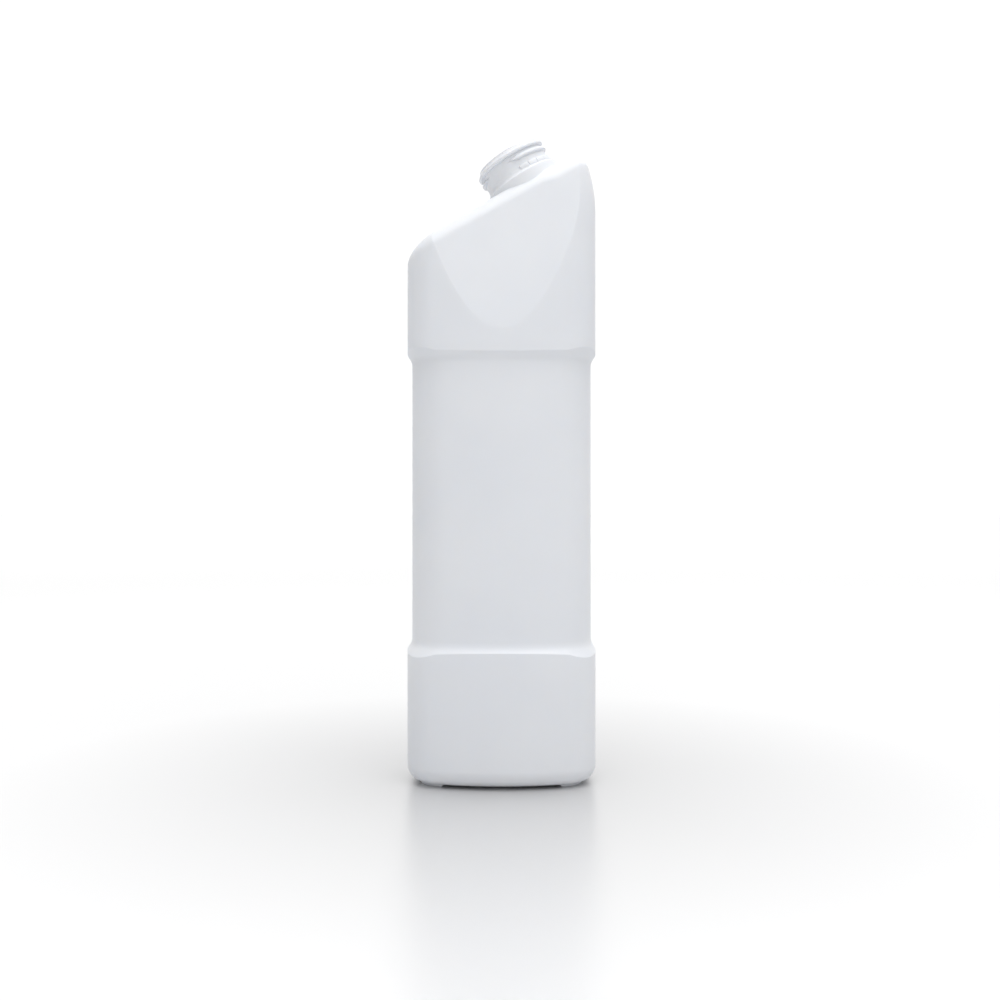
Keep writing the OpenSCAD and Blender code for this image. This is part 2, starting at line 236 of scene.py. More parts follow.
class BlownForm:
    """The rules that the rings of the body follow, all in metres."""

    def __init__(self, s, wall, flat=38, corner=34, side=(0.55, 0.2, 0.09, 0.045, 0.02)):
        self.s, self.wall = s, wall
        self.flat, self.corner = flat, corner
        self.side = [-f for f in side] + [0.0] + list(reversed(side))
        self.half_w, self.half_d = s.width / 2, s.depth / 2
        self.band = outline(self.half_w, self.half_d, s.face_radius, s.corner_radius)
        self.panel = outline(self.half_w - s.panel_side_in, self.half_d - s.panel_face_in,
                             s.panel_face_radius, s.panel_corner_radius)
        self.slant_from = s.facet_from + FACET_RUN
        self.foot_start = math.asin(s.foot_from / (s.face_radius - s.foot_in))

    def columns(self, start):
        """Wall angles of a quarter's columns: flat part up to start, then round part."""
        _, _, r, corner, turn = self.band
        run = lambda p: r * p if p < turn else r * turn + 2 * corner * (p - turn)
        u = np.linspace(0, 1, self.flat, endpoint=False)
        l = np.concatenate([run(start) * (1 - (1 - u) ** 1.25),
                            np.linspace(run(start), run(math.pi / 2), self.corner + 1)])
        return np.where(l < r * turn, l / r, turn + (l - r * turn) / (2 * corner))

    def shoulder(self, x):
        """Height of the shoulder plane, with its drop behind the neck."""
        s = self.s
        return (s.shoulder_height + math.tan(s.slope) * x
                - s.saddle_drop * ease((x - s.saddle_from) / (s.saddle_to - s.saddle_from)))

    def facet(self, z):
        """Half depth where the leaning facet lies at a height."""
        return self.half_d - np.maximum(0, z - self.s.facet_from) * math.tan(self.s.facet_lean)

    def edge(self, x):
        """Radius of the shoulder's rounded edge."""
        s = self.s
        return s.edge_low + (s.edge_high - s.edge_low) * (x + self.half_w) / s.width - self.wall

    def lean(self, height):
        """Share of the right half's width that is left on a ring."""
        s, x = self.s, self.half_w
        for _ in range(4):
            over = max(0, float(height(x, math.pi / 2)) - s.lean_from)
            x = self.half_w - over ** 2 / (2 * s.lean_radius)
        return x / self.half_w

    def facet_end(self, base, inset, height, side, squeeze):
        """Wall angle where the facet ends on a ring, found by halving."""
        low, high = 0.0, math.pi / 2
        for _ in range(16):
            p = (low + high) / 2
            x, y = base(np.array(p))
            e = inset(side * x, p)
            x, y = x - e * math.sin(p), y - e * math.cos(p)
            if y > self.facet(height(side * squeeze * x, p)) - e:
                low = p
            else:
                high = p
        return p

    def quarter(self, base, inset, height, side, least):
        """A quarter of a ring, from the face to the side."""
        squeeze = self.lean(height) if side > 0 else 1.0
        start = max(least, self.facet_end(base, inset, height, side, squeeze))
        p = self.columns(start)
        x, y = base(p)
        e = inset(side * x, p) * np.ones_like(p)
        x, y = side * squeeze * (x - e * np.sin(p)), y - e * np.cos(p)
        z = height(x, p) * np.ones_like(p)
        k = self.s.facet_blend
        other = self.facet(z) - e
        h = np.maximum(k - np.abs(y - other), 0) / k
        y = np.minimum(y, other) - np.where(z > self.s.facet_from - 0.002, h * h * k / 4, 0)
        return np.stack([x, y, z], 1)

    def ring(self, base, inset, height, least=TIP):
        """A whole ring of points, anticlockwise from the front, seen from above."""
        right = self.quarter(base, inset, height, 1, least)
        left = self.quarter(base, inset, height, -1, least)
        flip = np.array([1, -1, 1])
        between = lambda a: np.array([[a[0], a[1] * f, a[2]] for f in self.side])
        return np.concatenate([right * flip, between(right[-1]), right[::-1],
                               left[1:], between(left[-1])[::-1], (left * flip)[:0:-1]])

    def band_ring(self, inset, height, least=TIP):
        """A ring with the bands' outline, pulled in by inset."""
        if not callable(inset):
            d = inset
            inset = lambda x, p: d
        return self.ring(lambda p: along(self.band, p), inset, height, least)

    def step_depth(self, p):
        """How deep the panel lies under the bands, square to the wall."""
        bx, by = along(self.band, p)
        px, py = along(self.panel, p)
        return (bx - px) * np.sin(p) + (by - py) * np.cos(p)

    def step_ring(self, out, height):
        """A ring on a step, come out by out(p) from the panel towards the band."""
        def base(p):
            bx, by = along(self.band, p)
            px, py = along(self.panel, p)
            f = np.minimum(1, out(p) / self.step_depth(p))
            return px + (bx - px) * f, py + (by - py) * f
        return self.ring(base, lambda x, p: self.wall, lambda x, p: height(p))

    def step(self, crease_rows, slope_rows, fillet_rows):
        """(come out, gone up) of each row of a step, from the crease down to the panel."""
        s = self.s
        a, r, c = s.step_angle, s.step_radius, s.crease_radius
        foot = r * (1 - math.cos(a))
        rise = lambda p: r * math.sin(a) + (self.step_depth(p) - foot) / math.tan(a)
        rows = []
        for t in np.linspace(0, a, crease_rows):
            rows.append((lambda p, t=t: self.step_depth(p) - c * (1 - math.cos(t)),
                         lambda p, t=t: rise(p) + c * (math.tan(a / 2) - math.sin(t))))
        for f in np.linspace(0, 1, slope_rows + 2)[1:-1]:
            near = lambda p: self.step_depth(p) - c * (1 - math.cos(a))
            rows.append((lambda p, f=f: near(p) * (1 - f) + foot * f,
                         lambda p, f=f: r * math.sin(a) + (near(p) - foot) * (1 - f) / math.tan(a)))
        for t in np.linspace(a, 0, fillet_rows):
            rows.append((lambda p, t=t: r * (1 - math.cos(t)) + 0 * p,
                         lambda p, t=t: r * math.sin(t) + 0 * p))
        return rows

    def base_height(self, d):
        """Height of the base rounding at a distance in from the bands."""
        s = self.s
        r = s.base_radius
        d = np.minimum(d, r)
        return s.foot_height + r - np.sqrt((r - self.wall) ** 2 - np.maximum(0, r - d) ** 2)

    def foot(self, p, d):
        """1 on a foot's sole, 0 off the feet, with soft edges."""
        s = self.s
        soft = FOOT_SOFT
        across = (ease((d - s.foot_in + soft) / soft)
                  * ease((s.foot_in + s.foot_width + soft - d) / soft))
        r = s.corner_radius - s.foot_in
        round_it = (ease((p - self.foot_start) * s.face_radius / soft + 1)
                    * ease((s.foot_to - p) * r / soft + 1))
        return across * round_it if self.wall == 0 else 0 * p

    def base_rows(self, sole_rows, arc_rows):
        """Rings from the middle of the underside to the top of the base rounding."""
        s, w = self.s, self.wall
        sole = s.foot_in + s.foot_width
        push = sole + 0.004
        first = self.band_ring(push, lambda x, p: s.foot_height + s.push_up + w, self.foot_start)
        rows = []
        for f in (0, 0.004, 0.01, 0.02, 0.035, 0.055, 0.09, 0.15, 0.25, 0.4, 0.58, 0.78) if w == 0 \
                else (0, 0.3, 0.65):
            rows.append(first * np.array([1, f, 1]))
        rows.append(first)
        for d in np.linspace(push, sole + 0.001, 7 if w == 0 else 3)[1:]:
            rise = s.push_up * float(ease((d - sole - 0.001) / 0.003))
            rows.append(self.band_ring(d, lambda x, p: s.foot_height + rise + w, self.foot_start))
        inner = math.asin(1 - (s.foot_in - 0.0007) / s.base_radius)
        for d in list(sole + np.array([0.6, 0.4, 0.2, 0]) / 1000) \
                + list(np.linspace(sole - 0.0003, s.foot_in + 0.0003, sole_rows)) \
                + list(s.foot_in + np.array([0, -0.15, -0.3, -0.45, -0.6]) / 1000) if w == 0 \
                else np.linspace(sole, s.foot_in, 3):
            height = lambda x, p, d=d: self.base_height(d) * (1 - self.foot(p, d))
            rows.append(self.band_ring(d, height, self.foot_start))
        for f, t in zip(np.linspace(0, 1, arc_rows), np.linspace(inner, math.pi / 2, arc_rows)):
            d = w + (s.base_radius - w) * (1 - math.sin(t))
            least = self.foot_start + (TIP - self.foot_start) * f
            rows.append(self.band_ring(d, lambda x, p, d=d: self.base_height(d), least))
        return rows

    def wall_rows(self, low_band, crease, slope, fillet, panel, high_band, facet, slant):
        """Rings from the base rounding's top to the shoulder's rounded edge."""
        s, w = self.s, self.wall
        rows = []
        step = self.step(crease, slope, fillet)
        down = [self.step_ring(o, lambda p, r=r: s.panel_from - r(p)) for o, r in step]
        up = [self.step_ring(o, lambda p, r=r: s.panel_to + r(p)) for o, r in step][::-1]
        top = s.foot_height + s.base_radius
        low = down[0][:, 2].min()
        for z in np.linspace(top, low, low_band + 2)[1:-1]:
            rows.append(self.band_ring(w, lambda x, p, z=z: z))
        rows += down
        for z in np.linspace(s.panel_from, s.panel_to, panel + 2)[1:-1]:
            rows.append(self.step_ring(lambda p: 0 * p, lambda p, z=z: z))
        rows += up
        high = up[-1][:, 2].max()
        for z in np.linspace(high, s.facet_from, high_band + 2)[1:-1]:
            rows.append(self.band_ring(w, lambda x, p, z=z: z))
        for f in np.linspace(0, 1, facet + 1):
            z = s.facet_from + (self.slant_from - s.facet_from) * f * f
            rows.append(self.band_ring(w, lambda x, p, z=z: z))
        for f in np.linspace(0, 1, slant + 1)[1:-1]:
            rows.append(self.band_ring(w, lambda x, p, f=f: self.slant_from
                                       + (self.edge_start(x) - self.slant_from) * f))
        return rows

    def edge_start(self, x):
        """Height where the wall turns into the shoulder's rounded edge."""
        return self.shoulder(x) - self.wall / math.cos(self.s.slope) - self.edge(x)

    def top_rows(self, neck, radius, rows, fillet_rows):
        """Rings over the shoulder's edge to a round neck of that radius, and up its fillet."""
        s, w = self.s, self.wall
        path = []
        for t in np.linspace(0, math.pi / 2, EDGE_STEPS):
            path.append(self.band_ring(
                lambda x, p: w + self.edge(x) * (1 - math.cos(t)),
                lambda x, p: self.edge_start(x) + self.edge(x) * math.sin(t)))
        end = path[-1]
        for f in np.linspace(0, 1, TOP_STEPS)[1:]:
            xy = end[:, :2] * (1 - f) + np.array([neck.foot[0], 0]) * f
            z = self.shoulder(xy[:, 0]) - w / math.cos(s.slope)
            path.append(np.column_stack([xy, z]))
        path = np.array(path)
        r = neck.to_neck(path)[0]
        step = np.linalg.norm(np.diff(path, axis=0), axis=2)
        step[:EDGE_STEPS - 1] *= EDGE_SHARE
        run = np.concatenate([np.zeros((1, path.shape[1])), np.cumsum(step, axis=0)])
        out = np.empty((rows, path.shape[1], 3))
        fill = np.empty((fillet_rows, path.shape[1], 3))
        c = neck.s.fillet
        for i in range(path.shape[1]):
            def cut(limit):
                """Run along the column to where it reaches that radius."""
                j = int(np.argmax(r[:, i] < limit))
                f = (r[j - 1, i] - limit) / (r[j - 1, i] - r[j, i])
                return run[j - 1, i] + f * (run[j, i] - run[j - 1, i])
            at = lambda l: np.array([np.interp(l, run[:, i], path[:, i, k]) for k in range(3)]).T
            near, hit = cut(radius + c), cut(radius)
            out[:, i] = at(np.linspace(0, near, rows))
            p0, p1 = at(near), at(hit)
            p2 = p1 + np.array(neck.axis) * c
            for k, t in enumerate(np.linspace(0, 1, fillet_rows + 1)[1:]):
                fill[k, i] = p0 * (1 - t) ** 2 + p1 * 2 * t * (1 - t) + p2 * t * t
        return list(out) + list(fill)


class TiltedNeck:
    """The neck's own frame: its foot on the shoulder plane and its axis."""

    def __init__(self, s, body):
        self.s = s
        self.foot = np.array([s.axis_x, 0, body.shoulder_height + math.tan(body.slope) * s.axis_x])
        self.axis = np.array([-math.sin(body.slope), 0, math.cos(body.slope)])
        self.across = np.array([math.cos(body.slope), 0, math.sin(body.slope)])
        self.matrix = Matrix.Translation(Vector(self.foot)) @ Matrix.Rotation(-body.slope, 4, 'Y')

    def to_neck(self, points):
        """Radius, angle and height of points about the neck's axis."""
        q = points - self.foot
        u, v, h = q @ self.across, q[..., 1], q @ self.axis
        return np.hypot(u, v), np.arctan2(v, u), h

    def ring(self, r, h, a):
        """Points at radius r, height h and angles a about the neck's axis."""
        u, v = r * np.cos(a), r * np.sin(a)
        return (self.foot + u[:, None] * self.across + v[:, None] * np.array([0, 1, 0])
                + (h * np.ones_like(a))[:, None] * self.axis)


def rounded(points, steps=5):
    """A profile of (radius, height, rounding) corners as a list of (radius, height)."""
    out = []
    for i, (r, h, c) in enumerate(points):
        here = np.array([r, h])
        if c == 0 or i in (0, len(points) - 1):
            out.append(here)
            continue
        a = np.array(points[i - 1][:2]) - here
        b = np.array(points[i + 1][:2]) - here
        la, lb = np.linalg.norm(a), np.linalg.norm(b)
        half = math.acos(np.clip(a @ b / la / lb, -1, 1)) / 2
        cut = min(c / math.tan(half), la * 0.48, lb * 0.48)
        p, q = here + a / la * cut, here + b / lb * cut
        for t in np.linspace(0, 1, steps):
            out.append(p * (1 - t) ** 2 + here * 2 * t * (1 - t) + q * t * t)
    return out


def neck_profile(s):
    """Outside of the neck, from the collar's wall up to the rim and into the mouth."""
    top, mm = s.height, 0.001
    return rounded([
        (s.collar_radius, 0.6 * mm, 0),
        (s.collar_radius, top - s.collar_top - 0.8 * mm, 0),
        (s.collar_radius, top - s.collar_top, 0.3 * mm),
        (s.radius + 0.5 * mm, top - s.collar_top + 0.43 * s.collar_flare, 1.6 * mm),
        (s.radius, top - s.collar_top + s.collar_flare, 2.5 * mm),
        (s.radius, top - 6.5 * mm, 0),
        (s.radius, top - 1.1 * mm, 0.4 * mm),
        (s.rim_radius, top - 0.7 * mm, 0.25 * mm),
        (s.rim_radius, top, s.rim_round * 0.8),
        (s.mouth_radius, top, 0.3 * mm),
        (s.mouth_radius, top - 1 * mm, 0),
    ])


def evened(turn, share):
    """Ring angles moved by a share of the way towards even spacing in each half."""
    i = (np.arange(turn.size) - np.argmin(np.abs(turn))) % turn.size
    even = i * 2 * math.pi / turn.size
    if (turn[i == 1] - turn[i == 0])[0] < 0:
        even = -even
    return turn + share * ((even - turn + math.pi) % (2 * math.pi) - math.pi)


def ring_normals(rows):
    """Outward normals of a grid of rings."""
    along_row = np.roll(rows, -1, axis=1) - np.roll(rows, 1, axis=1)
    up = np.gradient(rows, axis=0)
    n = np.cross(along_row, up)
    size = np.linalg.norm(n, axis=2, keepdims=True)
    return n / np.maximum(size, 1e-12)


def add_seams(rows, s):
    """Raises the mould's parting line round the outside, and the pinch-off under the base."""
    y = rows[:, :, 1]
    under = (rows[:, :, 2] < WELD_TOP) & (np.abs(rows[:, :, 0]) < WELD_REACH)
    line = s.seam * np.exp(-(y / SEAM_WIDTH) ** 2)
    ends = 1 - ease((np.abs(rows[:, :, 0]) - WELD_HALF) / WELD_FADE)
    weld = s.pinch * ends * np.exp(-(np.abs(y) / WELD_WIDTH) ** 3)
    rise = np.where(under, weld, line)
    return rows + ring_normals(rows) * rise[:, :, None]


def mesh_from_rings(name, rows):
    """A closed mesh from rings whose first and last are flat lines."""
    rows = np.asarray(rows)
    count, size = rows.shape[:2]
    i, j = np.meshgrid(np.arange(size), np.arange(count - 1))
    a, b = (j * size + i).ravel(), (j * size + (i + 1) % size).ravel()
    faces = np.column_stack([a, b, b + size, a + size])
    mesh = bpy.data.meshes.new(name)
    mesh.from_pydata(rows.reshape(-1, 3).tolist(), [], faces.tolist())
    bm = bmesh.new()
    bm.from_mesh(mesh)
    bmesh.ops.remove_doubles(bm, verts=bm.verts, dist=2e-6)
    bmesh.ops.dissolve_degenerate(bm, edges=bm.edges, dist=1e-7)
    for f in bm.faces:
        f.smooth = True
    bm.to_mesh(mesh)
    bm.free()
    mesh.validate()
    return mesh


def bottle_mesh(body, neck_settings):
    """The whole bottle wall, outside and inside, as one closed skin."""
    neck = TiltedNeck(neck_settings, body)
    outside = BlownForm(body, 0.0)
    rows = outside.base_rows(5, 15) + outside.wall_rows(5, 5, 2, 8, 6, 3, 20, 20)
    rows += outside.top_rows(neck, neck_settings.collar_radius, 36, 5)
    turn = neck.to_neck(rows[-1])[1]
    rise = lambda h: EVEN_SHARE * min(max((h - EVEN_FROM) / EVEN_OVER, 0), 1)
    skin = [neck.ring(r, h, evened(turn, rise(h))) for r, h in neck_profile(neck_settings)]
    turn = evened(turn, EVEN_SHARE)
    rows = list(add_seams(np.array(rows + skin[:-RIM_POINTS]), body)) + skin[-RIM_POINTS:]

    inside = BlownForm(body, body.wall)
    inner = inside.top_rows(neck, neck_settings.mouth_radius, 16, 3)
    _, turn_in, low = neck.to_neck(inner[-1])
    start = neck_settings.height - 0.001
    swing = (turn_in - turn + math.pi) % (2 * math.pi) - math.pi
    for f in np.linspace(0, 1, 9)[1:-1]:
        rows.append(neck.ring(neck_settings.mouth_radius,
                              start * (1 - f) + low * f, turn + swing * f))
    rows += inner[::-1]
    rows += inside.wall_rows(2, 2, 1, 4, 3, 1, 7, 7)[::-1]
    rows += inside.base_rows(2, 5)[::-1]
    return mesh_from_rings("bottle_shell", rows)


# Node trees for what repeats or follows a path

def new_tree(name, inputs):
    """An empty geometry tree with named inputs."""
    tree = bpy.data.node_groups.new(name, 'GeometryNodeTree')
    tree.interface.new_socket("Geometry", in_out='INPUT', socket_type='NodeSocketGeometry')
    for label, kind, default in inputs:
        socket = tree.interface.new_socket(label, in_out='INPUT', socket_type=kind)
        if default is not None:
            socket.default_value = default
    tree.interface.new_socket("Geometry", in_out='OUTPUT', socket_type='NodeSocketGeometry')
    return tree, tree.nodes.new('NodeGroupInput'), tree.nodes.new('NodeGroupOutput')


def node(tree, kind, links=None, **values):
    """A node with its attributes set and its inputs linked or filled in."""
    n = tree.nodes.new(kind)
    for key, value in values.items():
        setattr(n, key, value)
    for key, value in (links or {}).items():
        socket = n.inputs[key]
        if isinstance(value, bpy.types.NodeSocket):
            tree.links.new(value, socket)
        else:
            socket.default_value = value
    return n


def math_node(tree, operation, *values):
    """Result of a sum of numbers and sockets."""
    n = tree.nodes.new('ShaderNodeMath')
    n.operation = operation
    for socket, value in zip(n.inputs, values):
        if isinstance(value, bpy.types.NodeSocket):
            tree.links.new(value, socket)
        else:
            socket.default_value = value
    return n.outputs[0]


def finish_tree(tree, geometry, material, out):
    """Realizes the instances and gives the result its material."""
    real = node(tree, 'GeometryNodeRealizeInstances', {"Geometry": geometry})
    painted = node(tree, 'GeometryNodeSetMaterial', {
        "Geometry": real.outputs[0], "Material": material})
    smooth = node(tree, 'GeometryNodeSetShadeSmooth', {"Geometry": painted.outputs[0]})
    tree.links.new(smooth.outputs[0], out.inputs[0])


def bake_tree(name, tree, values, matrix, material):
    """Runs a tree on an empty mesh and keeps its result as a plain piece."""
    carrier = bpy.data.objects.new(name + "_carrier", bpy.data.meshes.new(name + "_carrier"))
    bpy.context.scene.collection.objects.link(carrier)
    modifier = carrier.modifiers.new("shape", 'NODES')
    modifier.node_group = tree
    for item in tree.interface.items_tree:
        if item.item_type == 'SOCKET' and item.in_out == 'INPUT' and item.name in values:
            modifier[item.identifier] = values[item.name]
    bpy.context.view_layer.update()
    shown = carrier.evaluated_get(bpy.context.evaluated_depsgraph_get())
    mesh = bpy.data.meshes.new_from_object(shown)
    carrier.modifiers.clear()
    bpy.data.objects.remove(carrier)
    mesh.name = name
    mesh.transform(matrix)
    if not mesh.materials:
        mesh.materials.append(material)
    return add_piece(name, mesh)


def thread_tree(material):
    """A thread that follows a helix and fades in and out of the neck."""
    tree, given, out = new_tree("thread_along_helix", [
        ("Start", 'NodeSocketFloat', 0.0), ("Turns", 'NodeSocketFloat', 1.0),
        ("Pitch", 'NodeSocketFloat', 0.003), ("Start Height", 'NodeSocketFloat', 0.0),
        ("Root Radius", 'NodeSocketFloat', 0.0142), ("Tooth Height", 'NodeSocketFloat', 0.0011),
        ("Sink", 'NodeSocketFloat', 0.0007), ("Root Width", 'NodeSocketFloat', 0.0023),
        ("Crest Width", 'NodeSocketFloat', 0.0006), ("Crest Drop", 'NodeSocketFloat', 0.00035),
        ("Fade", 'NodeSocketFloat', 0.05), ("Rounding", 'NodeSocketFloat', 0.0002),
        ("Sway", 'NodeSocketFloat', 0.0006), ("Steps", 'NodeSocketInt', 200)])
    g = given.outputs
    line = node(tree, 'GeometryNodeCurvePrimitiveLine', {"Start": (0, 0, 0), "End": (1, 0, 0)})
    points = node(tree, 'GeometryNodeResampleCurve', {
        "Curve": line.outputs[0], "Count": g["Steps"]})
    share_along = node(tree, 'GeometryNodeSplineParameter').outputs["Factor"]
    turned = math_node(tree, 'MULTIPLY', share_along,
                       math_node(tree, 'MULTIPLY', g["Turns"], 2 * math.pi))
    around = math_node(tree, 'ADD', turned, g["Start"])
    climb = math_node(tree, 'MULTIPLY', share_along,
                      math_node(tree, 'MULTIPLY', g["Turns"], g["Pitch"]))
    swayed = math_node(tree, 'MULTIPLY', g["Sway"], math_node(tree, 'SINE', around))
    place = node(tree, 'ShaderNodeCombineXYZ', {
        "X": math_node(tree, 'MULTIPLY', g["Root Radius"], math_node(tree, 'SINE', around)),
        "Y": math_node(tree, 'MULTIPLY', g["Root Radius"],
                       math_node(tree, 'MULTIPLY', math_node(tree, 'COSINE', around), -1.0)),
        "Z": math_node(tree, 'SUBTRACT', math_node(tree, 'ADD', climb, g["Start Height"]), swayed)})
    helix = node(tree, 'GeometryNodeSetPosition', {"Geometry": points.outputs[0],
                                                   "Position": place.outputs[0]})
    upright = node(tree, 'GeometryNodeSetCurveNormal', {"Curve": helix.outputs[0]}, mode='Z_UP')
    near_end = math_node(tree, 'MINIMUM', share_along,
                         math_node(tree, 'SUBTRACT', 1.0, share_along))
    fade = node(tree, 'ShaderNodeMapRange', {
        "Value": near_end, "From Min": 0.0, "From Max": g["Fade"], "To Min": 0.05, "To Max": 1.0},
        interpolation_type='SMOOTHSTEP').outputs[0]
    sized = node(tree, 'GeometryNodeSetCurveRadius', {"Curve": upright.outputs[0], "Radius": fade})
    section = node(tree, 'GeometryNodeCurvePrimitiveQuadrilateral', {
        "Bottom Width": g["Root Width"], "Top Width": g["Crest Width"], "Offset": g["Crest Drop"],
        "Height": math_node(tree, 'ADD', g["Tooth Height"], g["Sink"])}, mode='TRAPEZOID')
    centre = math_node(tree, 'DIVIDE',
                       math_node(tree, 'SUBTRACT', g["Tooth Height"], g["Sink"]), 2.0)
    lifted = node(tree, 'GeometryNodeTransform', {
        "Geometry": section.outputs[0],
        "Translation": node(tree, 'ShaderNodeCombineXYZ', {"Y": centre}).outputs[0]})
    soft = node(tree, 'GeometryNodeFilletCurve', {
        "Curve": lifted.outputs[0], "Radius": g["Rounding"], "Count": 3}, mode='POLY')
    turned_section = node(tree, 'GeometryNodeTransform', {
        "Geometry": soft.outputs[0], "Rotation": (0.0, 0.0, THREAD_TURN)})
    swept = node(tree, 'GeometryNodeCurveToMesh', {
        "Curve": sized.outputs[0], "Profile Curve": turned_section.outputs[0],
        "Scale": fade, "Fill Caps": True})
    finish_tree(tree, swept.outputs[0], material, out)
    return tree


def teeth_tree(material, tooth):
    """One tooth repeated round the neck."""
    tree, given, out = new_tree("teeth_round_neck", [
        ("Count", 'NodeSocketInt', 11), ("Pitch", 'NodeSocketFloat', 0.3),
        ("Height", 'NodeSocketFloat', 0.0)])
    g = given.outputs
    row = node(tree, 'GeometryNodeMeshLine', {"Count": g["Count"], "Offset": (0, 0, 0)})
    index = node(tree, 'GeometryNodeInputIndex').outputs[0]
    middle = math_node(tree, 'DIVIDE', math_node(tree, 'SUBTRACT', g["Count"], 1.0), 2.0)
    around = math_node(tree, 'MULTIPLY', math_node(tree, 'SUBTRACT', index, middle), g["Pitch"])
    place = node(tree, 'ShaderNodeCombineXYZ', {"Z": g["Height"]})
    lifted = node(tree, 'GeometryNodeSetPosition', {
        "Geometry": row.outputs[0], "Position": place.outputs[0]})
    turn = node(tree, 'ShaderNodeCombineXYZ', {"Z": around})
    shape = node(tree, 'GeometryNodeObjectInfo', {"Object": tooth})
    copies = node(tree, 'GeometryNodeInstanceOnPoints', {
        "Points": lifted.outputs[0], "Instance": shape.outputs["Geometry"],
        "Rotation": turn.outputs[0]})
    finish_tree(tree, copies.outputs[0], material, out)
    return tree


def tooth_object(s, root):
    """One ratchet tooth with softened edges, standing at angle 0 of the neck."""
    span = s.radius * math.tan(s.pitch * s.fill / 2)
    base = [(root, -span), (s.radius - s.ramp, -span), (s.radius, span), (root, span)]
    mesh = bpy.data.meshes.new("ratchet_tooth")
    bm = bmesh.new()
    low = [bm.verts.new((x, y, 0)) for x, y in base]
    high = [bm.verts.new((x, y, s.height)) for x, y in base]
    bm.faces.new(low[::-1])
    bm.faces.new(high)
    for i in range(4):
        bm.faces.new((low[i], low[(i + 1) % 4], high[(i + 1) % 4], high[i]))
    bmesh.ops.bevel(bm, geom=list(bm.edges), offset=TOOTH_SOFT, segments=2, profile=0.5,
                    affect='EDGES')
    bmesh.ops.recalc_face_normals(bm, faces=bm.faces)
    bm.to_mesh(mesh)
    bm.free()
    return bpy.data.objects.new("ratchet_tooth", mesh)


# Materials

def blown_plastic(s):
    """White blown plastic: soft satin sheen, fine moulded grain and slow ripples."""
    material = bpy.data.materials.new("white_blown_plastic")
    material.use_nodes = True
    tree = material.node_tree
    shader = tree.nodes["Principled BSDF"]
    shader.inputs["Subsurface Weight"].default_value = s.glow
    shader.inputs["Subsurface Radius"].default_value = (0.004, 0.0035, 0.003)
    shader.inputs["Subsurface Scale"].default_value = 0.5
    shader.inputs["IOR"].default_value = 1.5
    place = node(tree, 'ShaderNodeTexCoord').outputs["Object"]
    cloud = node(tree, 'ShaderNodeTexNoise', {"Vector": place, "Scale": 22.0, "Detail": 2.0,
                                              "Roughness": 0.45})
    tint = node(tree, 'ShaderNodeValToRGB', {"Fac": cloud.outputs["Fac"]})
    tint.color_ramp.elements[0].position, tint.color_ramp.elements[1].position = 0.32, 0.7
    tint.color_ramp.elements[0].color = (*s.thin, 1)
    tint.color_ramp.elements[1].color = (*s.white, 1)
    tree.links.new(tint.outputs["Color"], shader.inputs["Base Color"])
    worn = node(tree, 'ShaderNodeTexNoise', {"Vector": place, "Scale": 90.0, "Detail": 4.0,
                                             "Roughness": 0.6})
    rough = node(tree, 'ShaderNodeMapRange', {"Value": worn.outputs["Fac"], "From Min": 0.3,
                                              "From Max": 0.7, "To Min": s.roughness - 0.05,
                                              "To Max": s.roughness + 0.05})
    tree.links.new(rough.outputs[0], shader.inputs["Roughness"])
    ripple = node(tree, 'ShaderNodeTexNoise', {"Vector": place, "Scale": 45.0, "Detail": 1.0})
    wave = node(tree, 'ShaderNodeBump', {"Strength": 0.25, "Distance": s.ripple,
                                         "Height": ripple.outputs["Fac"]})
    grain = node(tree, 'ShaderNodeTexNoise', {"Vector": place, "Scale": 1500.0, "Detail": 2.0,
                                              "Roughness": 0.6})
    skin = node(tree, 'ShaderNodeBump', {"Strength": 0.35, "Distance": s.grain,
                                         "Height": grain.outputs["Fac"], "Normal": wave.outputs[0]})
    tree.links.new(skin.outputs[0], shader.inputs["Normal"])
    return material


def get_plastic():
    """The plastic, made on its first use."""
    material = bpy.data.materials.get("white_blown_plastic")
    return material or blown_plastic(bpy.context.scene.plastic_finish)


def floor_material(s):
    """White sweep with a blurred reflection, darkened towards the bottle by painted shade."""
    material = bpy.data.materials.new("studio_floor")
    material.use_nodes = True
    tree = material.node_tree
    tree.nodes.clear()
    place = node(tree, 'ShaderNodeTexCoord').outputs["Object"]
    away = node(tree, 'ShaderNodeVectorMath', {0: place}, operation='LENGTH').outputs["Value"]
    # Painted shade: the floor's colour runs from the darker floor colour by the bottle out to the
    # white far floor, by distance from the middle.
    painted_floor_shade = node(tree, 'ShaderNodeValToRGB', {"Fac": away})
    painted_floor_shade.color_ramp.elements[0].position, painted_floor_shade.color_ramp.elements[1].position = 0.03, 0.9
    painted_floor_shade.color_ramp.elements[0].color = (*s.floor, 1)
    painted_floor_shade.color_ramp.elements[1].color = (*s.far_floor, 1)
    middle = painted_floor_shade.color_ramp.elements.new(0.22)
    middle.color = (*[0.45 * a + 0.55 * b for a, b in zip(s.floor, s.far_floor)], 1)
    flat = node(tree, 'ShaderNodeBsdfDiffuse', {"Color": painted_floor_shade.outputs["Color"]})
    shine = node(tree, 'ShaderNodeBsdfGlossy', {"Color": (1, 1, 1, 1), "Roughness": s.blur})
    share_out = node(tree, 'ShaderNodeMapRange', {"Value": away, "From Min": 0.8, "From Max": 2.0,
                                                  "To Min": s.shine, "To Max": 1.0}).outputs[0]
    mix = node(tree, 'ShaderNodeMixShader', {0: share_out, 1: flat.outputs[0], 2: shine.outputs[0]})
    out = node(tree, 'ShaderNodeOutputMaterial')
    tree.links.new(mix.outputs[0], out.inputs["Surface"])
    return material


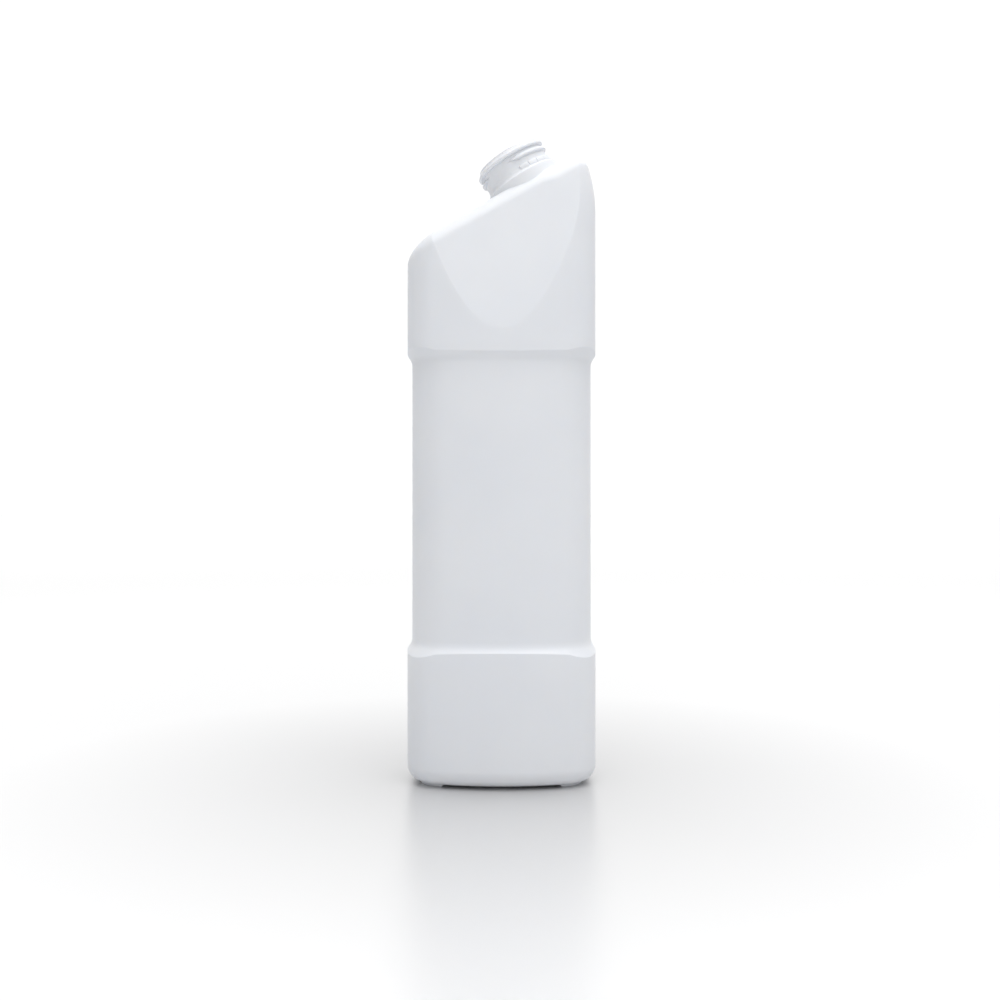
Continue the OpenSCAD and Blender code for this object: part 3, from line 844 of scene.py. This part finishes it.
def room_light(tree, s):
    """A white room whose left and right walls are dimmer than its front, back and ceiling."""
    way = node(tree, 'ShaderNodeTexCoord').outputs["Generated"]
    split = node(tree, 'ShaderNodeSeparateXYZ', {0: way})
    sideways = math_node(tree, 'ABSOLUTE', split.outputs["X"])
    level = node(tree, 'ShaderNodeMapRange', {"Value": sideways, "From Min": 0.35, "From Max": 0.95,
                                              "To Min": 1.0, "To Max": s.sides},
                 interpolation_type='SMOOTHSTEP').outputs[0]
    ahead = node(tree, 'ShaderNodeMapRange', {"Value": split.outputs["Y"], "From Min": 0.3,
                                              "From Max": -0.7, "To Min": s.air,
                                              "To Max": s.air * s.front},
                 interpolation_type='SMOOTHSTEP').outputs[0]
    strength = math_node(tree, 'MULTIPLY', level, ahead)
    background = tree.nodes["Background"]
    background.inputs["Color"].default_value = (1, 1, 1, 1)
    tree.links.new(strength, background.inputs["Strength"])


# Placing

def add_piece(name, mesh):
    """Puts a finished mesh at the origin as a piece that rides on the bottle's body."""
    piece = bpy.data.objects.new(name, mesh)
    bpy.context.scene.collection.objects.link(piece)
    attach(piece, BODY)
    return piece


def add_stage(obj):
    """Puts an object in the scene as part of the stage."""
    bpy.context.scene.collection.objects.link(obj)


def softbox(name, place, aim, size, power):
    """A rectangular area light at a place, turned towards its aim."""
    data = bpy.data.lights.new(name, 'AREA')
    data.shape, data.size, data.size_y = 'RECTANGLE', size[0], size[1]
    data.energy = power
    lamp = bpy.data.objects.new(name, data)
    lamp.location = place
    lamp.rotation_euler = (Vector(aim) - Vector(place)).to_track_quat('-Z', 'Y').to_euler()
    bpy.context.scene.collection.objects.link(lamp)


# Operators

class BOTTLE_OT_shell(bpy.types.Operator):
    """Build the hollow bottle wall with its neck"""
    bl_idname = "bottle.add_shell"
    bl_label = "Bottle Shell"

    def execute(self, context):
        mesh = bottle_mesh(context.scene.bottle_body, context.scene.bottle_neck)
        mesh.materials.append(get_plastic())
        piece = add_piece("bottle_shell", mesh)
        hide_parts(NODE)
        return {'FINISHED'}


class BOTTLE_OT_thread(bpy.types.Operator):
    """Wind the two stretches of thread round the neck"""
    bl_idname = "bottle.add_thread"
    bl_label = "Screw Thread"

    def execute(self, context):
        s, n = context.scene.screw_thread, context.scene.bottle_neck
        neck = TiltedNeck(n, context.scene.bottle_body)
        tree = thread_tree(get_plastic())
        flare = (s.root_width - s.crest_width) * (1 + s.sink / (s.radius - n.radius))
        root_width = s.crest_width + flare
        for name, start, end in (("thread_lower", s.lower_start, s.lower_end),
                                 ("thread_upper", s.upper_start, s.upper_end)):
            bake_tree(name, tree, {
                "Start": start, "Turns": (end - start) / (2 * math.pi), "Pitch": s.pitch,
                "Start Height": n.height - s.depth + s.pitch * start / (2 * math.pi),
                "Root Radius": n.radius, "Tooth Height": s.radius - n.radius, "Sink": s.sink,
                "Root Width": root_width, "Crest Width": s.crest_width,
                "Crest Drop": -s.crest_drop, "Sway": s.sway, "Fade": s.fade / (end - start),
                "Rounding": THREAD_SOFT, "Steps": int((end - start) / THREAD_STEP)},
                neck.matrix, get_plastic())
        return {'FINISHED'}


class BOTTLE_OT_teeth(bpy.types.Operator):
    """Set the ratchet teeth on the neck"""
    bl_idname = "bottle.add_teeth"
    bl_label = "Ratchet Teeth"

    def execute(self, context):
        s, n = context.scene.ratchet_teeth, context.scene.bottle_neck
        neck = TiltedNeck(n, context.scene.bottle_body)
        tooth = tooth_object(s, n.radius - TOOTH_SINK)
        bake_tree("ratchet_teeth", teeth_tree(get_plastic(), tooth), {
            "Count": s.count, "Pitch": s.pitch, "Height": n.height - s.top - s.height},
            neck.matrix, get_plastic())
        bpy.data.objects.remove(tooth)
        return {'FINISHED'}


class BOTTLE_OT_stage(bpy.types.Operator):
    """Set up the camera, the pale floor and the soft light"""
    bl_idname = "bottle.add_stage"
    bl_label = "Studio Stage"

    def execute(self, context):
        s = context.scene.studio_stage
        scene = context.scene
        camera_data = bpy.data.cameras.new("photo_camera")
        camera_data.sensor_width = 36
        camera_data.lens = 18 / math.tan(s.view / 2)
        camera_data.clip_start, camera_data.clip_end = 0.01, 50
        camera = bpy.data.objects.new("photo_camera", camera_data)
        camera.location = (-s.side, -s.distance, s.height)
        camera.rotation_euler = (math.pi / 2, 0, 0)
        scene.collection.objects.link(camera)
        scene.camera = camera

        mesh = bpy.data.meshes.new("floor")
        mesh.from_pydata([(-9, -9, 0), (9, -9, 0), (9, 9, 0), (-9, 9, 0)], [], [(0, 1, 2, 3)])
        mesh.materials.append(floor_material(s))
        add_stage(bpy.data.objects.new("floor", mesh))

        world = bpy.data.worlds.new("white_room")
        world.use_nodes = True
        room_light(world.node_tree, s)
        scene.world = world
        softbox("overhead", (0.14, -0.4, 1.35), (0, 0, 0.1), (1.2, 1.2), s.top)
        scene.view_settings.view_transform = 'Standard'
        return {'FINISHED'}


class BOTTLE_PT_panel(bpy.types.Panel):
    """Lists the steps that build the bottle"""
    bl_idname = "BOTTLE_PT_panel"
    bl_label = "Toilet Gel Bottle"
    bl_space_type = 'VIEW_3D'
    bl_region_type = 'UI'
    bl_category = "Bottle"

    def draw(self, context):
        for operator in OPERATORS:
            self.layout.operator(operator.bl_idname)


SETTINGS = {
    "bottle_body": BottleBodySettings,
    "bottle_neck": BottleNeckSettings,
    "screw_thread": ScrewThreadSettings,
    "ratchet_teeth": RatchetTeethSettings,
    "plastic_finish": PlasticFinishSettings,
    "studio_stage": StudioSettings,
}
OPERATORS = (BOTTLE_OT_stage, BOTTLE_OT_shell, BOTTLE_OT_thread, BOTTLE_OT_teeth)


def register():
    for settings in SETTINGS.values():
        bpy.utils.register_class(settings)
    for operator in OPERATORS:
        bpy.utils.register_class(operator)
    bpy.utils.register_class(BOTTLE_PT_panel)
    for name, settings in SETTINGS.items():
        setattr(bpy.types.Scene, name, PointerProperty(type=settings))


def unregister():
    for name in SETTINGS:
        delattr(bpy.types.Scene, name)
    bpy.utils.unregister_class(BOTTLE_PT_panel)
    for operator in reversed(OPERATORS):
        bpy.utils.unregister_class(operator)
    for settings in reversed(SETTINGS.values()):
        bpy.utils.unregister_class(settings)


def main():
    """Registers the add-on and builds every piece in order."""
    register()
    bpy.ops.bottle.add_stage()
    bpy.ops.bottle.add_shell()
    bpy.ops.bottle.add_thread()
    bpy.ops.bottle.add_teeth()


if __name__ == "__main__":
    main()
